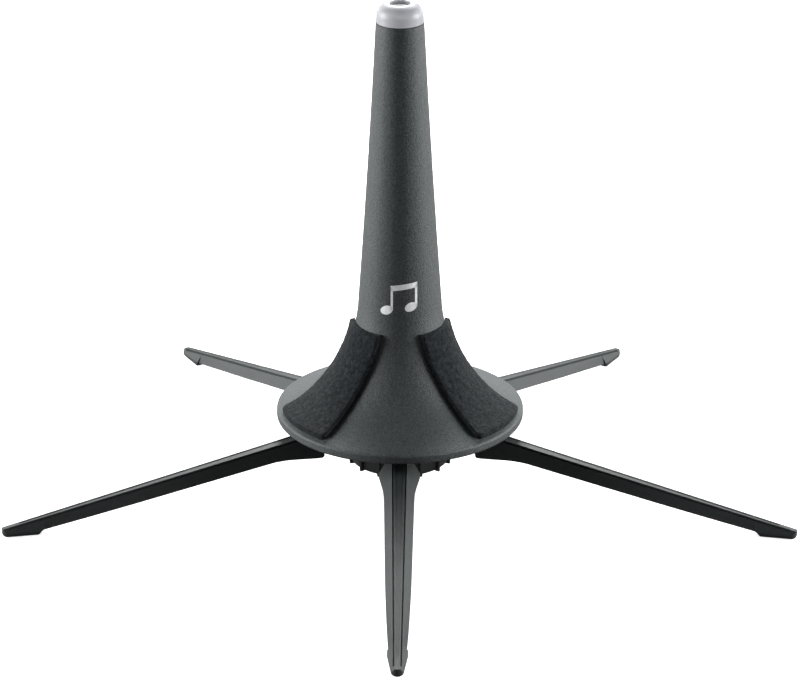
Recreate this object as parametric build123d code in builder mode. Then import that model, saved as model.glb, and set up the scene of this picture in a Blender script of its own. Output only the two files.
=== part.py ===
# Folding five-leg trumpet stand: a flared cone that stands inside the bell, on a hub with hinged legs.
# Millimetres, +Z up. The origin is on the floor under the cone axis, and one leg points to -Y.
import os
from math import atan, cos, degrees, radians, sin, tan

from build123d import *

# Overall sizes
stand_height = 204.0        # floor to the top of the tip cap
foot_reach = 165.0          # cone axis to the end of a foot
leg_count = 5
front = -90.0               # direction of the first leg about Z, in degrees

# Cone
rim_radius = 49.95
rim_height = 31.3           # floor to the bottom of the rim
rim_band = 4.2              # upright band around the rim
rim_round = 1.0
flare_setback = 1.3         # the flare ends this far inside the rim
throat_radius = 16.85       # where the taper runs into the flare
throat_height = 79.0
tip_radius = 9.46           # cone radius under the cap
taper_bow = 0.35            # the taper is bowed inward by this much
cone_wall = 1.6
tip_floor = 3.0             # solid top of the cone under the cap
mouth_overcut = 1.0         # the hollow is cut this far past the rim

# Tip cap and the spigot that it sits on
cap_height = 7.7
cap_inset = 0.1             # cap radius below the cone's own
cap_side = 3.0              # upright part of the cap's side
cap_crown_radius = 5.0      # flat ring around the hole
cap_hole_radius = 3.95
spigot_radius = 5.2
spigot_shoulder = 4.2       # height of the thick part of the spigot
spigot_recess = 1.2         # spigot end below the cap's top
seat_gap = 0.05             # between pieces that sit on each other
edge_round = 0.4

# Felt pads
pad_count = 3
pad_turn = 61.0             # first pad, counted from the front leg
pad_thickness = 2.2
pad_top = 72.5              # floor to the upper edge
pad_top_half_width = 11.3
pad_middle_half_width = 12.5
pad_foot_half_width = 17.0
pad_rim_gap = 0.3           # pad's lower edge inside the end of the flare
pad_corner = 2.0
pad_middle_share = 0.6      # of the way out to the rim, where the middle width is set

# Hub
pivot_radius = 12.4         # cone axis to a hinge pin
pivot_height = 24.0
pin_radius = 1.5
pin_half_length = 7.0
pin_press = 0.01            # radial room of a pin in the hub
pin_play = 0.05             # radial room of a pin in the leg
tongue_half_width = 4.0
tongue_play = 0.15          # each side of the tongue in its slot
eye_radius = 3.8
hub_column_gap = 0.4        # between a folded leg and the hub's middle column
slot_floor_gap = 0.3
hub_top = 29.0
hub_underside = 18.7
post_wall = 2.5             # wall of the posts that carry the cone
post_height = 38.0
post_radius = 22.0
boss_radius = 17.0          # spigot of the hub inside the grip knob
boss_depth = 3.9

# Collar inside the cone
collar_play = 0.06          # radial room between the posts and the collar
collar_wall = 1.9
collar_foot = 30.8          # floor to the lower edge, which holds the legs down
collar_top = 44.0
ledge_inner_radius = 17.0
ledge_thickness = 2.0
fin_thickness = 1.6
fin_foot = 33.0

# Grip knob under the hub
knob_bottom = 11.8
knob_radius = 20.5
knob_gap = 0.1              # between the knob and the hub above it
knob_round = 1.8
rib_count = 15
rib_height = 0.9            # how far a grip rib stands out
rib_width = 1.0
dish_inner_radius = 7.5
dish_outer_radius = 16.0
dish_depth = 1.2

# Screw that holds the knob
screw_radius = 1.5
screw_head_radius = 3.0
screw_head_height = 1.5
screw_length = 12.0
screw_recess_play = 0.5
screw_recess_depth = 1.8
screw_slot_width = 0.8
screw_slot_length = 4.0
screw_slot_depth = 0.7
screw_press = 0.02

# Legs
leg_gap = 0.4               # between a leg's spine and the collar above it
foot_thickness = 3.6        # height of the foot's end face
foot_length = 13.8          # flat of the foot on the floor
heel_half_width = 3.9
nose_half_width = 2.4       # the foot's end is an arc of this half width and depth, seen from above
nose_depth = 1.7
nose_top_round = 0.4
foot_edge_round = 1.8       # the foot's lower edges are rounded, which leaves a narrow flat to stand on
foot_wall_share = 0.9       # of the foot's upright wall, at most, that the rounding takes up
heel_run = 1.6              # length of the step from the belly down to the heel
heel_height = 2.2
heel_round = 1.4
belly_height = 19.75        # underside of the leg beside the hub
belly_bend_radius = 52.0    # cone axis to the bend in the underside
belly_bend_round = 55.0
root_radius = 34.7          # cone axis to the leg's lower root corner
root_lean = 3.4             # the root face leans inward by this much
root_half_width = 8.2
root_round = 1.2
tongue_inset = 1.0          # the tongue runs this far into the leg's root
spine_tilt = 0.84           # folded legs lean this much further in, towards their feet
nest_gap = 0.15             # each side of a folded leg
side_drop = 0.8             # the sides start this far below the spine, outside a groove
groove_depth = 1.2
groove_end = 2.4            # the grooves stop this far before the foot's end
ridge_width = 0.6
ridge_share = 0.6           # of half the spine at the foot's end, at most, that a ridge takes up
taper_start = 50.0          # the sides lean less and less from here to the foot
taper_end_gap = 0.6         # and stop this far before the heel's step
taper_root_radius = 61.0    # cone axis to the first place where the sides are set
taper_root_half_width = 2.8
taper_root_lean = 35.5
taper_foot_radius = 148.0
taper_foot_half_width = 1.88
taper_foot_lean = 24.0
channel_depth = 0.25        # shallow channel between the two ridges
channel_end = 7.0           # the channel stops this far before the foot's end

# Derived sizes
sector = 360.0 / leg_count
side_angle = sector / 2     # the legs' sides lean so that the folded legs nest
seat_height = stand_height - cap_height
flare_end = (rim_radius - flare_setback, rim_height + rim_band)
spine_start = (post_radius + collar_wall + collar_play, collar_foot - leg_gap)
spine_end = (foot_reach, foot_thickness)
spine_fall = (spine_start[1] - spine_end[1]) / (spine_end[0] - spine_start[0])
spine_angle = degrees(atan(spine_fall))
fold_angle = 90 + spine_angle + spine_tilt
heel_radius = foot_reach - foot_length
root_top_radius = root_radius - root_lean
groove_start = root_top_radius - tongue_inset
knob_top = hub_underside - knob_gap
eye_swing = (hub_top - pivot_height) * tan(radians(fold_angle - 90))
column_radius = pivot_radius - eye_radius - eye_swing - hub_column_gap
boss_bottom = hub_underside - boss_depth
collar_inner_radius = post_radius + collar_play
collar_outer_radius = collar_inner_radius + collar_wall

# Lines of the cone's outside, radius against height
taper_chord = Line((tip_radius, seat_height), (throat_radius, throat_height))
taper_middle = taper_chord @ 0.5 - Vector(taper_bow, 0)
taper = ThreePointArc(taper_chord @ 0, taper_middle, taper_chord @ 1)
flare = TangentArc(taper @ 1, flare_end, tangent=taper % 1)


def spine_height(radius):
    """Height of a leg's top line at a distance from the cone axis."""
    return spine_start[1] - spine_fall * (radius - spine_start[0])


def spine_half_width(radius):
    """Half the width of a leg's top line, set by the room between its neighbours when all are folded."""
    turn = radians(fold_angle)
    run = radius - pivot_radius
    rise = spine_height(radius) - pivot_height
    folded_radius = pivot_radius + run * cos(turn) - rise * sin(turn)
    return folded_radius * tan(radians(side_angle)) - nest_gap / cos(radians(side_angle))


def foot_wall(radius, half_width):
    """Height of the foot's upright wall, up to where the leaning side of the leg meets it."""
    return spine_height(radius) - (half_width - spine_half_width(radius)) / tan(radians(side_angle))


def inset_arc(edge, inset):
    """Arc that runs parallel to a line of the cone, this far inside it."""
    points = []
    for share in (0, 0.5, 1):
        along = edge % share
        points.append(edge @ share + Vector(along.Y, -along.X) * inset)
    return ThreePointArc(*points)


def finish(part, name):
    """Name a finished piece and write it."""
    part.label = name
    export_step(part, f"parts/{name}.step")
    print(f"{name}: volume {part.volume:.1f}")


def cavity_section(inset):
    """Half section of the space inside the cone, this far inside its outside."""
    with BuildSketch(Plane.XZ) as section:
        with BuildLine():
            inner_taper = inset_arc(taper, inset)
            inner_flare = inset_arc(flare, inset)
            mouth = (rim_radius - inset, rim_height - mouth_overcut)
            Line((0, (inner_taper @ 0).Y), inner_taper @ 0)
            Polyline(inner_flare @ 1, (mouth[0], rim_height + rim_band - inset), mouth, (0, mouth[1]))
            Line((0, mouth[1]), (0, (inner_taper @ 0).Y))
        make_face()
    return section.sketch


def make_cone_shell():
    """Hollow cone with its flare, rim band, closed tip and spigot."""
    with BuildPart() as shell:
        with BuildSketch(Plane.XZ) as outline:
            with BuildLine():
                add(taper)
                add(flare)
                Polyline(flare_end, (rim_radius, rim_height + rim_band - flare_setback / 2),
                         (rim_radius, rim_height), (0, rim_height), (0, seat_height),
                         (tip_radius, seat_height))
            make_face()
            rim_corners = outline.vertices().filter_by_position(Axis.X, rim_radius - 0.01, rim_radius + 0.01)
            fillet(rim_corners, radius=rim_round)
            tip_corner = outline.vertices().sort_by_distance((tip_radius, seat_height))[0]
            fillet(tip_corner, radius=edge_round)
        revolve(axis=Axis.Z)
        revolve(cavity_section(cone_wall), axis=Axis.Z, mode=Mode.SUBTRACT)
        with BuildSketch(Plane.XY.offset(seat_height - tip_floor)):
            Circle(tip_radius - cone_wall / 2)
        extrude(amount=tip_floor)
        with BuildSketch(Plane.XY.offset(seat_height)):
            Circle(spigot_radius)
        extrude(amount=spigot_shoulder)
        with BuildSketch(Plane.XY.offset(seat_height)):
            Circle(cap_hole_radius - seat_gap)
        extrude(amount=cap_height - spigot_recess)
        fillet(shell.edges().sort_by(Axis.Z)[-1], radius=edge_round)
    return shell.part


def make_tip_cap():
    """Domed rubber ring on the cone's spigot."""
    outer = tip_radius - cap_inset
    with BuildPart() as cap:
        with BuildSketch(Plane.XZ) as outline:
            with BuildLine():
                side = Line((outer, seat_height + seat_gap), (outer - cap_inset, seat_height + cap_side))
                dome = TangentArc(side @ 1, (cap_crown_radius, stand_height), tangent=side % 1)
                Polyline(dome @ 1, (cap_hole_radius, stand_height),
                         (cap_hole_radius, seat_height + spigot_shoulder + seat_gap),
                         (spigot_radius + seat_gap, seat_height + spigot_shoulder + seat_gap),
                         (spigot_radius + seat_gap, seat_height + seat_gap), side @ 0)
            make_face()
            fillet(outline.vertices().sort_by_distance(side @ 0)[0], radius=edge_round)
            fillet(outline.vertices().sort_by_distance((cap_hole_radius, stand_height))[0], radius=edge_round)
        revolve(axis=Axis.Z)
    return cap.part


def make_collar():
    """Ring inside the cone that slides over the hub's posts and rests on them, with fins to the flare."""
    with BuildPart() as collar:
        with BuildSketch(Plane.XY.offset(collar_foot)):
            Circle(collar_outer_radius)
            Circle(collar_inner_radius, mode=Mode.SUBTRACT)
        extrude(amount=collar_top - collar_foot)
        with BuildSketch(Plane.XY.offset(post_height + seat_gap)):
            Circle(collar_outer_radius)
            Circle(ledge_inner_radius, mode=Mode.SUBTRACT)
        extrude(amount=ledge_thickness)
        with BuildSketch(Plane.XY.offset(fin_foot)):
            with PolarLocations(collar_inner_radius + collar_wall / 2, leg_count,
                                start_angle=front + side_angle):
                Rectangle(rim_radius, fin_thickness, align=(Align.MIN, Align.CENTER))
        extrude(amount=collar_top - fin_foot)
        revolve(cavity_section(cone_wall + seat_gap), axis=Axis.Z, mode=Mode.INTERSECT)
    return collar.part


def make_felt_pad(angle):
    """Felt pad on the flare, wider at the rim."""
    foot_radius = flare_end[0] - pad_rim_gap
    with BuildPart() as pad:
        with BuildSketch(Plane.XZ):
            with BuildLine():
                back = inset_arc(flare, -seat_gap)
                face = inset_arc(flare, -seat_gap - pad_thickness)
                Line(back @ 0, face @ 0)
                Line(back @ 1, face @ 1)
            make_face()
        revolve(axis=Axis.Z)
        with BuildSketch(Plane.XY.rotated((0, 0, angle))) as plan:
            with BuildLine():
                start = (0, pad_top_half_width)
                middle = (foot_radius * pad_middle_share, pad_middle_half_width)
                end = ((foot_radius**2 - pad_foot_half_width**2) ** 0.5, pad_foot_half_width)
                ThreePointArc(start, middle, end)
                ThreePointArc(end, (foot_radius, 0), (end[0], -end[1]))
                ThreePointArc((end[0], -end[1]), (middle[0], -middle[1]), (start[0], -start[1]))
                Line((start[0], -start[1]), start)
            make_face()
            fillet(plan.vertices().group_by(Axis.X)[-1], radius=pad_corner)
        extrude(amount=pad_top, mode=Mode.INTERSECT)
    return pad.part


def make_hub():
    """Base hub with a slot for each leg, posts for the cone and a boss for the knob."""
    slot_width = 2 * (tongue_half_width + tongue_play)
    slot_floor = pivot_height - eye_radius - slot_floor_gap
    with BuildPart() as hub:
        with BuildSketch(Plane.XY.offset(hub_underside)):
            Circle(post_radius)
        extrude(amount=post_height - hub_underside)
        fillet(hub.edges().group_by(Axis.Z)[-1], radius=edge_round)
        with BuildSketch(Plane.XY.offset(hub_top)):
            Circle(post_radius - post_wall)
        extrude(amount=post_height - hub_top, mode=Mode.SUBTRACT)
        with BuildSketch(Plane.XY.offset(boss_bottom)):
            Circle(boss_radius)
        extrude(amount=boss_depth)
        with BuildSketch(Plane.XY.offset(slot_floor)):
            with PolarLocations(column_radius, leg_count, start_angle=front):
                Rectangle(post_radius, slot_width, align=(Align.MIN, Align.CENTER))
        extrude(amount=post_height - slot_floor, mode=Mode.SUBTRACT)
        with Locations((0, 0, pivot_height)):
            with PolarLocations(pivot_radius, leg_count, start_angle=front):
                Cylinder(pin_radius + pin_press, 2 * pin_half_length + 2 * pin_press,
                         rotation=(90, 0, 0), mode=Mode.SUBTRACT)
        with BuildSketch(Plane.XY.offset(boss_bottom)):
            Circle(screw_radius + screw_press)
        extrude(amount=screw_length, mode=Mode.SUBTRACT)
    return hub.part


def make_knob():
    """Grip knob: a ribbed cup on the hub's boss."""
    with BuildPart() as knob:
        with BuildSketch(Plane.XY.offset(knob_bottom)):
            Circle(knob_radius)
        extrude(amount=knob_top - knob_bottom)
        fillet(knob.edges().group_by(Axis.Z)[0], radius=knob_round)
        with BuildSketch(Plane.XY.offset(knob_bottom)):
            with PolarLocations(knob_radius - knob_round, rib_count, start_angle=front):
                Rectangle(knob_round + rib_height, rib_width, align=(Align.MIN, Align.CENTER))
        extrude(amount=knob_top - knob_bottom)
        with BuildSketch(Plane.XY.offset(boss_bottom - seat_gap)):
            Circle(boss_radius + seat_gap)
        extrude(amount=knob_top - boss_bottom + seat_gap, mode=Mode.SUBTRACT)
        with BuildSketch(Plane.XY.offset(knob_bottom)):
            Circle(dish_outer_radius)
            Circle(dish_inner_radius, mode=Mode.SUBTRACT)
        extrude(amount=dish_depth, mode=Mode.SUBTRACT)
        with BuildSketch(Plane.XY.offset(knob_bottom)):
            Circle(screw_head_radius + screw_recess_play)
        extrude(amount=screw_recess_depth, mode=Mode.SUBTRACT)
        with BuildSketch(Plane.XY.offset(knob_bottom)):
            Circle(screw_radius + screw_press)
        extrude(amount=boss_bottom - knob_bottom, mode=Mode.SUBTRACT)
    return knob.part


def make_knob_screw():
    """Pan-head screw from below, through the knob into the hub."""
    head_top = knob_bottom + screw_recess_depth
    with BuildPart() as screw:
        with BuildSketch(Plane.XY.offset(head_top - screw_head_height)):
            Circle(screw_head_radius)
        extrude(amount=screw_head_height)
        fillet(screw.edges().group_by(Axis.Z)[0], radius=edge_round)
        with BuildSketch(Plane.XY.offset(head_top)):
            Circle(screw_radius)
        extrude(amount=screw_length)
        chamfer(screw.edges().group_by(Axis.Z)[-1], length=edge_round)
        with BuildSketch(Plane.XY.offset(head_top - screw_head_height)):
            Rectangle(screw_slot_length, screw_slot_width)
            Rectangle(screw_slot_width, screw_slot_length)
        extrude(amount=screw_slot_depth, mode=Mode.SUBTRACT)
    return screw.part


def make_pin():
    """Hinge pin of a leg along +X."""
    with BuildPart() as pin:
        with Locations((pivot_radius, 0, pivot_height)):
            Cylinder(pin_radius, 2 * pin_half_length, rotation=(90, 0, 0))
        chamfer(pin.edges().filter_by(GeomType.CIRCLE), length=edge_round / 2)
    return pin.part


def side_plane(side):
    """Plane of a leg's side: halfway between two folded legs, turned back to where the leg is open."""
    lean = radians(side_angle)
    hinge = Location((pivot_radius, 0, pivot_height))
    unfold = hinge * Location((0, 0, 0), (0, fold_angle, 0)) * hinge.inverse()
    halfway = Plane(origin=(nest_gap * sin(lean), -side * nest_gap * cos(lean), 0),
                    x_dir=(cos(lean), side * sin(lean), 0), z_dir=(-sin(lean), side * cos(lean), 0))
    return Plane(unfold * halfway.location)


def spine_edge(radius, inset, side):
    """Point on the spine at a distance from the cone axis, this far inside its edge."""
    return Vector(radius, side * (spine_half_width(radius) - inset), spine_height(radius))


def make_groove(side):
    """Bar to cut along one edge of the spine: a wall at the ridge and a floor that slopes up outwards."""
    start = spine_edge(groove_start, 0, side)
    run = spine_edge(foot_reach - groove_end, 0, side) - start
    lip = side_drop * tan(radians(side_angle))
    outside = 2 * lip
    with BuildPart() as groove:
        with BuildSketch(Plane(origin=start, x_dir=(0, -side, 0), z_dir=run)):
            with BuildLine():
                Polyline((0, -side * side_drop), (0, side * groove_depth), (-lip, side * side_drop),
                         (-outside, side * side_drop), (-outside, -side * side_drop), close=True)
            make_face()
        extrude(amount=run.length)
    return groove.part


def side_section(radius):
    """Section of the beam between its sides, at a distance from the cone axis."""
    share = (radius - taper_root_radius) / (taper_foot_radius - taper_root_radius)
    half_width = taper_root_half_width + share * (taper_foot_half_width - taper_root_half_width)
    root_slope = tan(radians(taper_root_lean))
    slope = root_slope + share * (tan(radians(taper_foot_lean)) - root_slope)
    top = spine_height(radius)
    upper = half_width - 2 * side_drop * slope
    lower = half_width + (top - side_drop) * slope
    with BuildSketch(Plane(origin=(radius, 0, 0), x_dir=(0, 1, 0), z_dir=(1, 0, 0))) as section:
        with BuildLine():
            Polyline((-lower, 0), (lower, 0), (upper, top + side_drop), (-upper, top + side_drop), close=True)
        make_face()
    return section.sketch


def make_taper_trim():
    """What is cut from the wedge so that its sides lean less towards the foot."""
    taper_end = heel_radius - heel_run - taper_end_gap
    with BuildPart() as trim:
        with BuildSketch(Plane(origin=(taper_start, 0, 0), x_dir=(0, 1, 0), z_dir=(1, 0, 0))):
            Rectangle(2 * root_half_width, spine_height(0), align=(Align.CENTER, Align.MIN))
        extrude(amount=taper_end - taper_start)
        loft(sections=[side_section(taper_start), side_section(taper_end)], ruled=True, mode=Mode.SUBTRACT)
    return trim.part


def channel_outline():
    """Shallow channel between the ridges, drawn on the spine."""
    slant = 1 / cos(radians(spine_angle))
    ridge = min(ridge_width, ridge_share * spine_half_width(foot_reach))
    corners = []
    for side in (1, -1):
        ends = (groove_start, foot_reach - channel_end)
        for radius in ends[::side]:
            corners.append((radius * slant, spine_edge(radius, ridge, side).Y))
    with BuildSketch(Plane(origin=(0, 0, spine_height(0)), x_dir=(1, 0, -spine_fall),
                           z_dir=(spine_fall, 0, 1))) as channel:
        with BuildLine():
            Polyline(*corners, close=True)
        make_face()
    return channel.sketch


def make_leg():
    """Leg along +X: a wedge-shaped beam with a tongue and eye for its pin and a rounded foot."""
    root_top = (root_top_radius, spine_height(root_top_radius))
    waist = (heel_radius - heel_run, heel_height)
    foot_start = heel_radius - heel_run - taper_end_gap
    nose_start = foot_reach - nose_depth
    wall = min(foot_wall(heel_radius, heel_half_width), foot_wall(nose_start, nose_half_width))
    foot_round = min(foot_edge_round, foot_wall_share * wall)
    with BuildPart() as leg:
        with BuildSketch(Plane.XZ) as side:
            with BuildLine():
                Polyline((root_radius, belly_height), (belly_bend_radius, belly_height), waist,
                         (heel_radius, 0), (foot_reach, 0), (foot_reach, foot_thickness), root_top,
                         close=True)
            make_face()
            fillet(side.vertices().sort_by_distance((belly_bend_radius, belly_height))[0],
                   radius=belly_bend_round)
            fillet(side.vertices().sort_by_distance(waist)[0], radius=heel_round)
            fillet(side.vertices().sort_by_distance((root_radius, belly_height))[0], radius=root_round)
        extrude(amount=root_half_width, both=True)
        with BuildSketch(Plane.XZ):
            with BuildLine():
                Polyline((pivot_radius, pivot_height - eye_radius),
                         (root_radius - tongue_inset, pivot_height - eye_radius),
                         (root_top[0] + tongue_inset, root_top[1] - tongue_inset),
                         (pivot_radius, pivot_height + eye_radius), close=True)
            make_face()
            with Locations((pivot_radius, pivot_height)):
                Circle(eye_radius)
        extrude(amount=tongue_half_width, both=True)
        split(bisect_by=side_plane(1), keep=Keep.BOTTOM)
        split(bisect_by=side_plane(-1), keep=Keep.BOTTOM)
        add(make_taper_trim(), mode=Mode.SUBTRACT)
        with BuildSketch(Plane.XY):
            with BuildLine():
                ThreePointArc((nose_start, -nose_half_width), (foot_reach, 0), (nose_start, nose_half_width))
                Polyline((nose_start, nose_half_width), (heel_radius, heel_half_width),
                         (foot_start, heel_half_width), (foot_start, root_half_width),
                         (0, root_half_width), (0, -root_half_width),
                         (foot_start, -root_half_width), (foot_start, -heel_half_width),
                         (heel_radius, -heel_half_width), (nose_start, -nose_half_width))
            make_face()
        extrude(amount=spine_height(0), mode=Mode.INTERSECT)
        foot_edges = leg.edges().filter_by_position(Axis.Z, -seat_gap, seat_gap)
        fillet(foot_edges.filter_by(Axis.Y, reverse=True), radius=foot_round)
        fillet(leg.edges().sort_by_distance((foot_reach, 0, foot_thickness))[0], radius=nose_top_round)
        add(make_groove(1), mode=Mode.SUBTRACT)
        add(make_groove(-1), mode=Mode.SUBTRACT)
        extrude(channel_outline(), amount=-channel_depth, mode=Mode.SUBTRACT)
        with Locations((pivot_radius, 0, pivot_height)):
            Cylinder(pin_radius + pin_play, 2 * root_half_width, rotation=(90, 0, 0), mode=Mode.SUBTRACT)
    return leg.part


def main():
    os.makedirs("parts", exist_ok=True)
    finish(make_cone_shell(), "cone_shell")
    finish(make_tip_cap(), "tip_cap")
    finish(make_collar(), "cone_collar")
    for number in range(pad_count):
        angle = front + pad_turn + number * 360 / pad_count
        finish(make_felt_pad(angle), f"felt_pad_{number + 1}")
    finish(make_hub(), "base_hub")
    finish(make_knob(), "grip_knob")
    finish(make_knob_screw(), "knob_screw")
    leg = make_leg()
    pin = make_pin()
    for number in range(leg_count):
        angle = front + number * sector
        finish(leg.rotate(Axis.Z, angle), f"leg_{number + 1}")
        finish(pin.rotate(Axis.Z, angle), f"hinge_pin_{number + 1}")


main()
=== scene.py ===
# Folding stand for a trumpet: finishes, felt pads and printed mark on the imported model, in metres
from math import cos, radians, sin
import bpy
from mathutils import Matrix, Vector


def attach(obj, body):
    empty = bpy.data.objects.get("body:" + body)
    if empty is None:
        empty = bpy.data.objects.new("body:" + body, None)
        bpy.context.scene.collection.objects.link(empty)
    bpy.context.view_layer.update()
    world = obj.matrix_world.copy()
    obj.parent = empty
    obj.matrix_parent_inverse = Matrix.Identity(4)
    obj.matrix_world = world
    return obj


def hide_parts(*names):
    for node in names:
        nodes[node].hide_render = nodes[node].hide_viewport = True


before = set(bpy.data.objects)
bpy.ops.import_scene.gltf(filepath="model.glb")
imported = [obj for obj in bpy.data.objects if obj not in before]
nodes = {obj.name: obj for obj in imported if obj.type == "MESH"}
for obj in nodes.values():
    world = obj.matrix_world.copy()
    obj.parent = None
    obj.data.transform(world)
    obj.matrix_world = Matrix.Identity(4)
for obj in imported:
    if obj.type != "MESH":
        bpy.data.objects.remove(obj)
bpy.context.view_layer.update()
mm = 0.001


def deselectAll():
    if bpy.context.object and bpy.context.object.mode != "OBJECT":
        bpy.ops.object.mode_set(mode="OBJECT")
    bpy.ops.object.select_all(action="DESELECT")


def pick(piece):
    deselectAll()
    piece.select_set(True)
    bpy.context.view_layer.objects.active = piece


def settle(piece):
    # leaves the piece at the origin, unturned and unscaled, with its place in its mesh
    pick(piece)
    bpy.ops.object.transform_apply(location=True, rotation=True, scale=True)


def modify(piece, kind, **settings):
    pick(piece)
    modifier = piece.modifiers.new(kind.title(), kind)
    for key, value in settings.items():
        setattr(modifier, key, value)
    bpy.ops.object.modifier_apply(modifier=modifier.name)


# camera and light

cameraSet = {
    "distance": 1.148,      # level distance from the cone's axis
    "height": 0.545,
    "turn": radians(0.34),  # the front leg points a touch to the left of the camera
    "tilt": radians(67.23),
    "lens": 139.3,
}

# each softbox: degrees round the stand from the camera, degrees up, watts
lightSet = {
    "boxes": {
        "sideLeft": (-90, 12, 33.0), "sideRight": (90, 13, 31.0),
        "fillLeft": (-60, 12, 0.2), "fillRight": (60, 16, 1.2),
        "rimLeft": (-142, 10, 6.0), "rimRight": (142, 10, 6.0),
        "front": (0, 30, 0.2), "back": (180, 40, 30.0),
    },
    "capLight": (0, 30, 13.0),   # falls on the tip cap only
    "aim": (0, 0, 0.1),
    "reach": 1.3,
    "size": 0.6,
    "sky": 0.035,
    "backdrop": 1.0,
    "floorWidth": 8,
    "floorTone": 0.65,
    "floorRough": 0.9,
    "floorBounce": 0.2,     # tone of the floor as the object sees it
    "floorGlow": 0.8,
}


def addCamera():
    data = bpy.data.cameras.new("camera")
    camera = bpy.data.objects.new("camera", data)
    bpy.context.scene.collection.objects.link(camera)
    place = Vector((0, -cameraSet["distance"], cameraSet["height"]))
    camera.location = Matrix.Rotation(cameraSet["turn"], 3, "Z") @ place
    camera.rotation_euler = (cameraSet["tilt"], 0, cameraSet["turn"])
    data.lens = cameraSet["lens"]
    data.sensor_width = 36
    bpy.context.scene.camera = camera


def addSoftbox(name, around, up, power):
    data = bpy.data.lights.new(name, "AREA")
    data.shape = "SQUARE"
    data.size = lightSet["size"]
    data.energy = power
    lamp = bpy.data.objects.new(name, data)
    bpy.context.scene.collection.objects.link(lamp)
    turn, rise = radians(around), radians(up)
    way = lightSet["reach"] * Vector((cos(rise) * sin(turn), -cos(rise) * cos(turn), sin(rise)))
    lamp.location = Vector(lightSet["aim"]) + way
    lamp.rotation_euler = (-way).to_track_quat("-Z", "Y").to_euler()
    lamp.visible_camera = False
    return lamp


def addSky():
    # even, dim light, in front of a white backdrop that only the camera sees
    world = bpy.data.worlds.new("studio")
    bpy.context.scene.world = world
    world.use_nodes = True
    tree = world.node_tree
    dim = tree.nodes["Background"]
    dim.inputs["Color"].default_value = (1, 1, 1, 1)
    dim.inputs["Strength"].default_value = lightSet["sky"]
    white = tree.nodes.new("ShaderNodeBackground")
    white.inputs["Color"].default_value = (1, 1, 1, 1)
    white.inputs["Strength"].default_value = lightSet["backdrop"]
    path = tree.nodes.new("ShaderNodeLightPath")
    mix = tree.nodes.new("ShaderNodeMixShader")
    tree.links.new(path.outputs["Is Camera Ray"], mix.inputs[0])
    tree.links.new(dim.outputs[0], mix.inputs[1])
    tree.links.new(white.outputs[0], mix.inputs[2])
    tree.links.new(mix.outputs[0], tree.nodes["World Output"].inputs["Surface"])


def addFloor():
    deselectAll()
    bpy.ops.mesh.primitive_plane_add(size=lightSet["floorWidth"])
    floor = bpy.context.object
    floor.name = "floor"
    paint = bpy.data.materials.new("floor")
    paint.use_nodes = True
    tree = paint.node_tree
    pale = tree.nodes["Principled BSDF"]
    tone, bounce = lightSet["floorTone"], lightSet["floorBounce"]
    pale.inputs["Base Color"].default_value = (tone, tone, tone, 1)
    pale.inputs["Roughness"].default_value = lightSet["floorRough"]
    pale.inputs["Emission Color"].default_value = (1, 1, 1, 1)
    pale.inputs["Emission Strength"].default_value = lightSet["floorGlow"]
    dull = tree.nodes.new("ShaderNodeBsdfDiffuse")
    dull.inputs["Color"].default_value = (bounce, bounce, bounce, 1)
    path = tree.nodes.new("ShaderNodeLightPath")
    mix = tree.nodes.new("ShaderNodeMixShader")
    tree.links.new(path.outputs["Is Camera Ray"], mix.inputs[0])
    tree.links.new(dull.outputs[0], mix.inputs[1])
    tree.links.new(pale.outputs[0], mix.inputs[2])
    tree.links.new(mix.outputs[0], tree.nodes["Material Output"].inputs["Surface"])
    floor.data.materials.append(paint)


addCamera()
for name, look in lightSet["boxes"].items():
    addSoftbox(name, *look)
capLamp = addSoftbox("capLight", *lightSet["capLight"])
lit = bpy.data.collections.new("lit by capLight")
lit.objects.link(nodes["tip_cap"])
capLamp.light_linking.receiver_collection = lit
addSky()
addFloor()
bpy.context.scene.view_settings.view_transform = "Standard"
print("camera and studio ready")


# shared shader effects, as node groups

def newGroup(name, inputs, outputs):
    group = bpy.data.node_groups.new(name, "ShaderNodeTree")
    for label, kind, value in inputs:
        socket = group.interface.new_socket(label, in_out="INPUT", socket_type=kind)
        socket.default_value = value
    for label, kind in outputs:
        group.interface.new_socket(label, in_out="OUTPUT", socket_type=kind)
    return group, group.nodes.new("NodeGroupInput"), group.nodes.new("NodeGroupOutput")


def addNode(tree, kind, settings=None, values=None, links=None):
    node = tree.nodes.new(kind)
    for key, value in (settings or {}).items():
        setattr(node, key, value)
    for key, value in (values or {}).items():
        node.inputs[key].default_value = value
    for key, source in (links or {}).items():
        tree.links.new(source, node.inputs[key])
    return node


def mathNode(tree, operation, first, second):
    node = tree.nodes.new("ShaderNodeMath")
    node.operation = operation
    for slot, value in enumerate((first, second)):
        if isinstance(value, (int, float)):
            node.inputs[slot].default_value = value
        else:
            tree.links.new(value, node.inputs[slot])
    return node.outputs[0]


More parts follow.
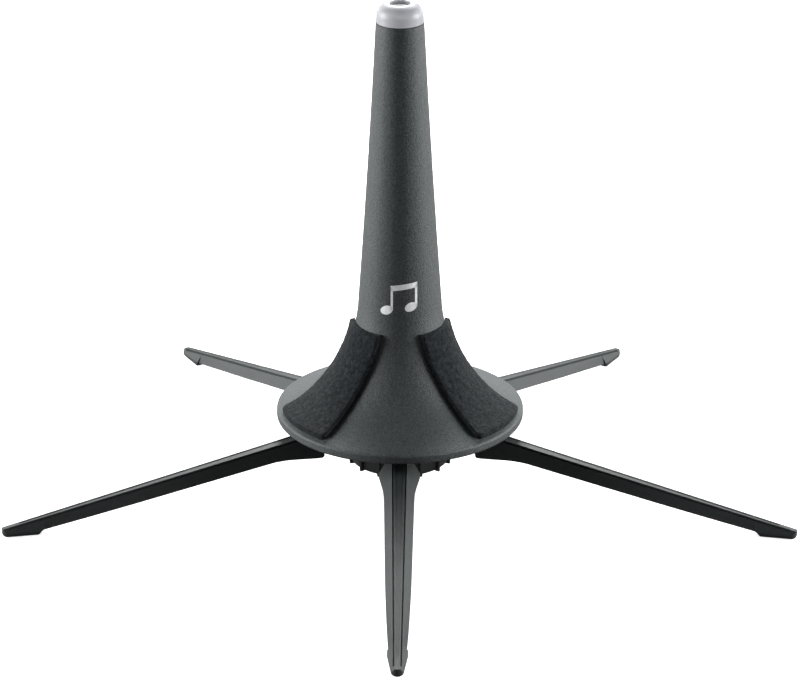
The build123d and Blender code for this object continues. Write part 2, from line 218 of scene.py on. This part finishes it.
def makeMouldGrain():
    # spark-eroded tool texture: fine rounded grains with a finer noise between them
    group, enter, leave = newGroup(
        "mouldGrain",
        [("Grain Size", "NodeSocketFloat", 0.0007), ("Fineness", "NodeSocketFloat", 2.6)],
        [("Height", "NodeSocketFloat"), ("Speckle", "NodeSocketFloat")])
    place = addNode(group, "ShaderNodeTexCoord").outputs["Object"]
    scale = mathNode(group, "DIVIDE", 1.0, enter.outputs["Grain Size"])
    fineScale = mathNode(group, "MULTIPLY", scale, enter.outputs["Fineness"])
    coarse = addNode(group, "ShaderNodeTexNoise", values={"Detail": 2.0, "Roughness": 0.55},
                     links={"Vector": place, "Scale": scale})
    fine = addNode(group, "ShaderNodeTexNoise", values={"Detail": 1.0, "Roughness": 0.5},
                   links={"Vector": place, "Scale": fineScale})
    blend = addNode(group, "ShaderNodeMix", {"data_type": "FLOAT"}, {"Factor": 0.35},
                    {"A": coarse.outputs["Fac"], "B": fine.outputs["Fac"]})
    rise = addNode(group, "ShaderNodeMapRange", values={"From Min": 0.34, "From Max": 0.66},
                   links={"Value": blend.outputs[0]})
    group.links.new(rise.outputs[0], leave.inputs["Height"])
    group.links.new(coarse.outputs["Fac"], leave.inputs["Speckle"])
    return group


def makeEdgeRubAndHighlight():
    # finds sharp edges from the rounded normal and breaks the mask up; the mask lightens the edges,
    # as edge wear and as a painted highlight along them
    group, enter, leave = newGroup(
        "edgeRubAndHighlight",
        [("Width", "NodeSocketFloat", 0.0006), ("Patch Size", "NodeSocketFloat", 0.006)],
        [("Mask", "NodeSocketFloat")])
    place = addNode(group, "ShaderNodeTexCoord").outputs["Object"]
    soft = addNode(group, "ShaderNodeBevel", {"samples": 6},
                   links={"Radius": enter.outputs["Width"]})
    true = addNode(group, "ShaderNodeNewGeometry")
    agree = addNode(group, "ShaderNodeVectorMath", {"operation": "DOT_PRODUCT"},
                    links={0: soft.outputs["Normal"], 1: true.outputs["Normal"]})
    edge = addNode(group, "ShaderNodeMapRange", values={"From Min": 0.995, "From Max": 0.80},
                   links={"Value": agree.outputs["Value"]})
    scale = mathNode(group, "DIVIDE", 1.0, enter.outputs["Patch Size"])
    patches = addNode(group, "ShaderNodeTexNoise", values={"Detail": 4.0, "Roughness": 0.6},
                      links={"Vector": place, "Scale": scale})
    broken = addNode(group, "ShaderNodeMapRange", values={"From Min": 0.35, "From Max": 0.62},
                     links={"Value": patches.outputs["Fac"]})
    mask = mathNode(group, "MULTIPLY", edge.outputs[0], broken.outputs[0])
    group.links.new(mask, leave.inputs["Mask"])
    return group


def makeHandling():
    # broad, faint differences in gloss where fingers have been, with a little settled dust
    group, enter, leave = newGroup(
        "handling",
        [("Patch Size", "NodeSocketFloat", 0.03), ("Dust Size", "NodeSocketFloat", 0.002)],
        [("Smear", "NodeSocketFloat"), ("Dust", "NodeSocketFloat")])
    place = addNode(group, "ShaderNodeTexCoord").outputs["Object"]
    scale = mathNode(group, "DIVIDE", 1.0, enter.outputs["Patch Size"])
    smear = addNode(group, "ShaderNodeTexNoise",
                    values={"Detail": 5.0, "Roughness": 0.62, "Distortion": 0.8},
                    links={"Vector": place, "Scale": scale})
    dustScale = mathNode(group, "DIVIDE", 1.0, enter.outputs["Dust Size"])
    motes = addNode(group, "ShaderNodeTexNoise", values={"Detail": 3.0, "Roughness": 0.75},
                    links={"Vector": place, "Scale": dustScale})
    up = addNode(group, "ShaderNodeNewGeometry")
    level = addNode(group, "ShaderNodeSeparateXYZ", links={0: up.outputs["Normal"]})
    facing = addNode(group, "ShaderNodeMapRange", values={"From Min": 0.3, "From Max": 1.0},
                     links={"Value": level.outputs["Z"]})
    thick = addNode(group, "ShaderNodeMapRange", values={"From Min": 0.56, "From Max": 0.72},
                    links={"Value": motes.outputs["Fac"]})
    dust = mathNode(group, "MULTIPLY", facing.outputs[0], thick.outputs[0])
    group.links.new(smear.outputs["Fac"], leave.inputs["Smear"])
    group.links.new(dust, leave.inputs["Dust"])
    return group


mouldGrain = makeMouldGrain()
edgeRubAndHighlight = makeEdgeRubAndHighlight()
handling = makeHandling()


def mixColour(tree, factor, first, second):
    node = tree.nodes.new("ShaderNodeMix")
    node.data_type = "RGBA"
    for slot, value in ((0, factor), (6, first), (7, second)):
        if isinstance(value, (int, float)):
            node.inputs[slot].default_value = value
        elif isinstance(value, tuple):
            node.inputs[slot].default_value = (*value, 1)
        else:
            tree.links.new(value, node.inputs[slot])
    return node.outputs[2]


def placeGroup(tree, group, **values):
    node = tree.nodes.new("ShaderNodeGroup")
    node.node_tree = group
    for label, value in values.items():
        node.inputs[label.replace("_", " ")].default_value = value
    return node


def freshMaterial(name):
    material = bpy.data.materials.new(name)
    material.use_nodes = True
    tree = material.node_tree
    return material, tree, tree.nodes["Principled BSDF"]


def smearGloss(tree, shader, touch, look):
    gloss = addNode(tree, "ShaderNodeMapRange",
                    values={"From Min": 0.3, "From Max": 0.7,
                            "To Min": look["smooth"], "To Max": look["rough"]},
                    links={"Value": touch.outputs["Smear"]})
    tree.links.new(gloss.outputs[0], shader.inputs["Roughness"])


def grainBump(tree, shader, grain, look):
    # the grain lies on edges that are rounded a little
    edge = addNode(tree, "ShaderNodeBevel", {"samples": 6}, {"Radius": look["edgeRound"]})
    bump = addNode(tree, "ShaderNodeBump",
                   values={"Strength": look["grainStrength"], "Distance": look["grainDepth"]},
                   links={"Height": grain.outputs["Height"], "Normal": edge.outputs["Normal"]})
    tree.links.new(bump.outputs["Normal"], shader.inputs["Normal"])


def mouldedPlastic(name, look):
    material, tree, shader = freshMaterial(name)
    grain = placeGroup(tree, mouldGrain, Grain_Size=look["grainSize"], Fineness=look["fineness"])
    rubAndHighlight = placeGroup(tree, edgeRubAndHighlight, Width=look["edgeWidth"], Patch_Size=look["rubAndHighlightPatch"])
    touch = placeGroup(tree, handling, Patch_Size=look["smearPatch"], Dust_Size=look["dustSize"])
    speckle = addNode(tree, "ShaderNodeMapRange", values={"From Min": 0.38, "From Max": 0.62},
                      links={"Value": grain.outputs["Speckle"]})
    colour = mixColour(tree, speckle.outputs[0], look["darkGrain"], look["paleGrain"])
    # the edges are lightened in colour: partly edge wear, partly a painted highlight where the
    # edges catch light
    worn = mathNode(tree, "MULTIPLY", rubAndHighlight.outputs["Mask"], look["rubAndHighlightAmount"])
    colour = mixColour(tree, worn, colour, look["rubbedEdgeAndHighlight"])
    dusted = mathNode(tree, "MULTIPLY", touch.outputs["Dust"], look["dustAmount"])
    colour = mixColour(tree, dusted, colour, look["dust"])
    tree.links.new(colour, shader.inputs["Base Color"])
    smearGloss(tree, shader, touch, look)
    grainBump(tree, shader, grain, look)
    shader.inputs["Specular IOR Level"].default_value = look["shine"]
    return material


conePlastic = mouldedPlastic("conePlastic", {
    "darkGrain": (0.017, 0.023, 0.024), "paleGrain": (0.045, 0.053, 0.054),
    "rubbedEdgeAndHighlight": (0.10, 0.105, 0.105), "rubAndHighlightAmount": 0.45, "rubAndHighlightPatch": 9 * mm,
    "grainSize": 0.6 * mm, "fineness": 2.3, "grainStrength": 0.9, "grainDepth": 0.10 * mm,
    "edgeWidth": 0.5 * mm, "edgeRound": 0.3 * mm,
    "smooth": 0.56, "rough": 0.64, "smearPatch": 28 * mm, "shine": 0.5,
    "dust": (0.22, 0.22, 0.21), "dustAmount": 0.05, "dustSize": 1.6 * mm,
})
legPlastic = mouldedPlastic("legPlastic", {
    "darkGrain": (0.016, 0.020, 0.020), "paleGrain": (0.026, 0.031, 0.031),
    "rubbedEdgeAndHighlight": (0.09, 0.095, 0.095), "rubAndHighlightAmount": 0.5, "rubAndHighlightPatch": 7 * mm,
    "grainSize": 0.32 * mm, "fineness": 2.0, "grainStrength": 0.35, "grainDepth": 0.02 * mm,
    "edgeWidth": 0.35 * mm, "edgeRound": 0.2 * mm,
    "smooth": 0.50, "rough": 0.58, "smearPatch": 22 * mm, "shine": 0.36,
    "dust": (0.22, 0.22, 0.21), "dustAmount": 0.06, "dustSize": 1.3 * mm,
})
hubPlastic = mouldedPlastic("hubPlastic", {
    "darkGrain": (0.009, 0.011, 0.011), "paleGrain": (0.015, 0.018, 0.018),
    "rubbedEdgeAndHighlight": (0.08, 0.085, 0.085), "rubAndHighlightAmount": 0.35, "rubAndHighlightPatch": 6 * mm,
    "grainSize": 0.36 * mm, "fineness": 2.0, "grainStrength": 0.45, "grainDepth": 0.03 * mm,
    "edgeWidth": 0.35 * mm, "edgeRound": 0.2 * mm,
    "smooth": 0.42, "rough": 0.52, "smearPatch": 18 * mm, "shine": 0.5,
    "dust": (0.22, 0.22, 0.21), "dustAmount": 0.05, "dustSize": 1.2 * mm,
})


capLook = {
    "deep": (0.215, 0.22, 0.235), "pale": (0.255, 0.26, 0.275),
    "grainSize": 0.5 * mm, "fineness": 2.0, "grainStrength": 0.25, "grainDepth": 0.02 * mm,
    "smearPatch": 9 * mm, "dustSize": 1.0 * mm, "edgeRound": 0.25 * mm,
    "smooth": 0.42, "rough": 0.55,
    "glow": 0.3, "scatter": 1.5 * mm,   # light that gets into the rubber, and how far
}


def makeCapRubber():
    material, tree, shader = freshMaterial("capRubber")
    grain = placeGroup(tree, mouldGrain, Grain_Size=capLook["grainSize"],
                       Fineness=capLook["fineness"])
    touch = placeGroup(tree, handling, Patch_Size=capLook["smearPatch"],
                       Dust_Size=capLook["dustSize"])
    colour = mixColour(tree, touch.outputs["Smear"], capLook["deep"], capLook["pale"])
    tree.links.new(colour, shader.inputs["Base Color"])
    smearGloss(tree, shader, touch, capLook)
    grainBump(tree, shader, grain, capLook)
    shader.inputs["Subsurface Weight"].default_value = capLook["glow"]
    shader.inputs["Subsurface Radius"].default_value = (1, 1, 1)
    shader.inputs["Subsurface Scale"].default_value = capLook["scatter"]
    return material


feltLook = {
    "dark": (0.001, 0.002, 0.003), "pale": (0.020, 0.025, 0.028),
    "clump": 1.6 * mm, "fibre": 0.45 * mm,
    "fluff": 1.0, "fluffDepth": 0.30 * mm,
    "rough": 0.95, "shine": 0.15, "sheen": 0.04, "sheenRough": 0.5,
}


def makeFelt():
    material, tree, shader = freshMaterial("blackFelt")
    place = addNode(tree, "ShaderNodeTexCoord").outputs["Object"]
    clump = addNode(tree, "ShaderNodeTexNoise",
                    values={"Scale": 1 / feltLook["clump"], "Detail": 3.0,
                            "Roughness": 0.6, "Distortion": 0.6},
                    links={"Vector": place})
    fibre = addNode(tree, "ShaderNodeTexNoise",
                    values={"Scale": 1 / feltLook["fibre"], "Detail": 3.0,
                            "Roughness": 0.7, "Distortion": 2.2},
                    links={"Vector": place})
    tangle = addNode(tree, "ShaderNodeMix", {"data_type": "FLOAT"}, {"Factor": 0.55},
                     {"A": clump.outputs["Fac"], "B": fibre.outputs["Fac"]})
    tone = addNode(tree, "ShaderNodeMapRange", values={"From Min": 0.43, "From Max": 0.60},
                   links={"Value": tangle.outputs[0]})
    colour = mixColour(tree, tone.outputs[0], feltLook["dark"], feltLook["pale"])
    tree.links.new(colour, shader.inputs["Base Color"])
    bump = addNode(tree, "ShaderNodeBump",
                   values={"Strength": feltLook["fluff"], "Distance": feltLook["fluffDepth"]},
                   links={"Height": tangle.outputs[0]})
    tree.links.new(bump.outputs["Normal"], shader.inputs["Normal"])
    shader.inputs["Roughness"].default_value = feltLook["rough"]
    shader.inputs["Specular IOR Level"].default_value = feltLook["shine"]
    shader.inputs["Sheen Weight"].default_value = feltLook["sheen"]
    shader.inputs["Sheen Roughness"].default_value = feltLook["sheenRough"]
    return material


steelLook = {
    "dull": (0.42, 0.42, 0.41), "bright": (0.62, 0.62, 0.61),
    "scratch": 0.4 * mm, "smooth": 0.22, "rough": 0.42,
}


def makeSteel():
    material, tree, shader = freshMaterial("brightSteel")
    place = addNode(tree, "ShaderNodeTexCoord").outputs["Object"]
    scratch = addNode(tree, "ShaderNodeTexNoise",
                      values={"Scale": 1 / steelLook["scratch"], "Detail": 3.0, "Roughness": 0.7},
                      links={"Vector": place})
    colour = mixColour(tree, scratch.outputs["Fac"], steelLook["dull"], steelLook["bright"])
    tree.links.new(colour, shader.inputs["Base Color"])
    gloss = addNode(tree, "ShaderNodeMapRange",
                    values={"To Min": steelLook["smooth"], "To Max": steelLook["rough"]},
                    links={"Value": scratch.outputs["Fac"]})
    tree.links.new(gloss.outputs[0], shader.inputs["Roughness"])
    shader.inputs["Metallic"].default_value = 1.0
    return material


capRubber = makeCapRubber()
blackFelt = makeFelt()
brightSteel = makeSteel()


finishOf = {
    "cone_shell": conePlastic,
    "cone_collar": hubPlastic,
    "tip_cap": capRubber,
    "base_hub": hubPlastic,
    "grip_knob": hubPlastic,
    "knob_screw": brightSteel,
    "leg": legPlastic,
    "hinge_pin": brightSteel,
    "felt_pad": blackFelt,
}


def finishNodes():
    for name, node in nodes.items():
        kind = name if name in finishOf else name.rsplit("_", 1)[0]
        for slot in node.material_slots:
            slot.material = finishOf[kind]


finishNodes()
print("finishes on", len(nodes), "nodes")


# felt pads: the die-cut felt, soft at its edges, stands in for each plain pad

padSet = {
    "voxel": 0.5 * mm,
    "merge": 0.01 * mm,
    "softening": 4,         # rounds of smoothing at the cut edges
    "reach": 2,             # how sharply the noise stops where the face turns into the back
    "lumps": {"size": 5.0 * mm, "rise": 0.22 * mm},
    "fibres": {"size": 0.8 * mm, "rise": 0.26 * mm},
    "fill": 0.9,
}


def roughen(piece, name, look):
    # noise pushed along the normals, on the face side only, so that the back stays off the cone
    texture = bpy.data.textures.new(name, "CLOUDS")
    texture.noise_scale = look["size"]
    texture.noise_depth = 2
    modify(piece, "DISPLACE", texture=texture, texture_coords="LOCAL", strength=look["rise"],
           mid_level=0.5, vertex_group="face")


def markFace(piece):
    # the face looks up and away from the axis, the back down and towards it
    face = piece.vertex_groups.new(name="face")
    for vertex in piece.data.vertices:
        away = Vector((vertex.co.x, vertex.co.y, 0)).normalized()
        outward = vertex.normal.dot((away + Vector((0, 0, 1))).normalized())
        share = min(1.0, max(0.0, outward * padSet["reach"]))
        face.add([vertex.index], share, "REPLACE")


def makePad(number):
    node = nodes[f"felt_pad_{number}"]
    pad = bpy.data.objects.new(f"feltPad{number}", node.data.copy())
    bpy.context.scene.collection.objects.link(pad)
    pick(pad)
    bpy.ops.object.mode_set(mode="EDIT")
    bpy.ops.mesh.select_all(action="SELECT")
    bpy.ops.mesh.remove_doubles(threshold=padSet["merge"])
    bpy.ops.object.mode_set(mode="OBJECT")
    modify(pad, "REMESH", mode="VOXEL", voxel_size=padSet["voxel"])
    modify(pad, "SMOOTH", factor=0.5, iterations=padSet["softening"])
    markFace(pad)
    roughen(pad, "lumps", padSet["lumps"])
    roughen(pad, "fibres", padSet["fibres"])
    bpy.ops.object.shade_smooth()
    pad.data.materials.clear()
    pad.data.materials.append(blackFelt)
    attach(pad, "cone")
    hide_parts(node.name)


for number in (1, 2, 3):
    makePad(number)
print("felt pads made")


# printed mark: a pair of beamed notes, wrapped onto the front of the cone

markSet = {
    "middle": 88 * mm,      # height of its middle
    "front": 30 * mm,       # drawn this far in front of the axis, then pushed onto the cone
    "span": 9.6 * mm,       # between the stems
    "tall": 12.6 * mm,
    "stem": 0.9 * mm,
    "beam": 2.2 * mm,
    "slant": 1.4 * mm,      # rise of the beam from left to right
    "headLong": 2.5 * mm,
    "headWide": 1.75 * mm,
    "headTilt": radians(24),
    "shift": 1.2 * mm,      # to the right of the front line
    "ink": 0.04 * mm,       # thickness
    "tone": (0.84, 0.86, 0.87),
    "worn": 0.82,           # tone where it has been rubbed
    "wearPatch": 3 * mm, "dustSize": 0.5 * mm,
    "grainSize": 0.5 * mm, "fineness": 2.0, "grainStrength": 0.3, "grainDepth": 0.02 * mm,
    "rough": 0.55,
    "outline": 40,          # points round a note head
    "steps": (40, 12),      # faces along and across a bar, so that it can bend round the cone
}


def makeInk():
    material, tree, shader = freshMaterial("paleInk")
    wear = placeGroup(tree, handling, Patch_Size=markSet["wearPatch"],
                      Dust_Size=markSet["dustSize"])
    worn = addNode(tree, "ShaderNodeMapRange", values={"From Min": 0.3, "From Max": 0.7},
                   links={"Value": wear.outputs["Smear"]})
    thin = tuple(markSet["worn"] * part for part in markSet["tone"])
    colour = mixColour(tree, worn.outputs[0], thin, markSet["tone"])
    tree.links.new(colour, shader.inputs["Base Color"])
    grain = placeGroup(tree, mouldGrain, Grain_Size=markSet["grainSize"],
                       Fineness=markSet["fineness"])
    bump = addNode(tree, "ShaderNodeBump",
                   values={"Strength": markSet["grainStrength"], "Distance": markSet["grainDepth"]},
                   links={"Height": grain.outputs["Height"]})
    tree.links.new(bump.outputs["Normal"], shader.inputs["Normal"])
    shader.inputs["Roughness"].default_value = markSet["rough"]
    return material


def subdivideAll(cuts):
    bpy.ops.object.mode_set(mode="EDIT")
    bpy.ops.mesh.select_all(action="SELECT")
    bpy.ops.mesh.subdivide(number_cuts=cuts)
    bpy.ops.object.mode_set(mode="OBJECT")


def drawHead(x, z):
    deselectAll()
    bpy.ops.mesh.primitive_circle_add(vertices=markSet["outline"], radius=1, fill_type="TRIFAN",
                                      location=(x, -markSet["front"], z),
                                      rotation=(radians(90), -markSet["headTilt"], 0))
    head = bpy.context.object
    head.scale = (markSet["headLong"], markSet["headWide"], 1)
    settle(head)
    subdivideAll(3)
    return head


def drawBar(left, right, low, high, rise=0):
    # an upright bar or, with a rise, the slanted beam
    deselectAll()
    along, across = markSet["steps"]
    middle = ((left + right) / 2, -markSet["front"], (low + high) / 2)
    bpy.ops.mesh.primitive_grid_add(x_subdivisions=along, y_subdivisions=across, size=1,
                                    location=middle, rotation=(radians(90), 0, 0))
    bar = bpy.context.object
    bar.scale = (right - left, high - low, 1)
    settle(bar)
    for vertex in bar.data.vertices:
        vertex.co.z += rise * ((vertex.co.x - left) / (right - left) - 0.5)
    return bar


def makeMark():
    half, stem, slant = markSet["span"] / 2, markSet["stem"], markSet["slant"]
    low = markSet["middle"] - markSet["tall"] / 2 + markSet["headWide"]
    high = markSet["middle"] + markSet["tall"] / 2 - slant / 2
    strokes = []
    for side in (-1, 1):
        x = side * half + markSet["shift"]
        base = low + side * slant / 2
        strokes.append(drawHead(x - markSet["headLong"] + stem, base))
        strokes.append(drawBar(x, x + stem, base, high + side * slant / 2 - stem / 2))
    left = markSet["shift"] - half
    right = markSet["shift"] + half + stem
    strokes.append(drawBar(left, right, high - markSet["beam"], high, slant))
    deselectAll()
    for stroke in strokes:
        stroke.select_set(True)
    bpy.context.view_layer.objects.active = strokes[0]
    bpy.ops.object.join()
    mark = bpy.context.object
    mark.name = "printedNotes"
    modify(mark, "SHRINKWRAP", target=nodes["cone_shell"], wrap_method="PROJECT",
           use_project_y=True, use_project_z=False, use_positive_direction=True,
           use_negative_direction=False, offset=markSet["ink"] / 2)
    modify(mark, "SOLIDIFY", thickness=markSet["ink"], offset=0)
    mark.data.materials.append(makeInk())
    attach(mark, "cone")


makeMark()
print("printed mark made")
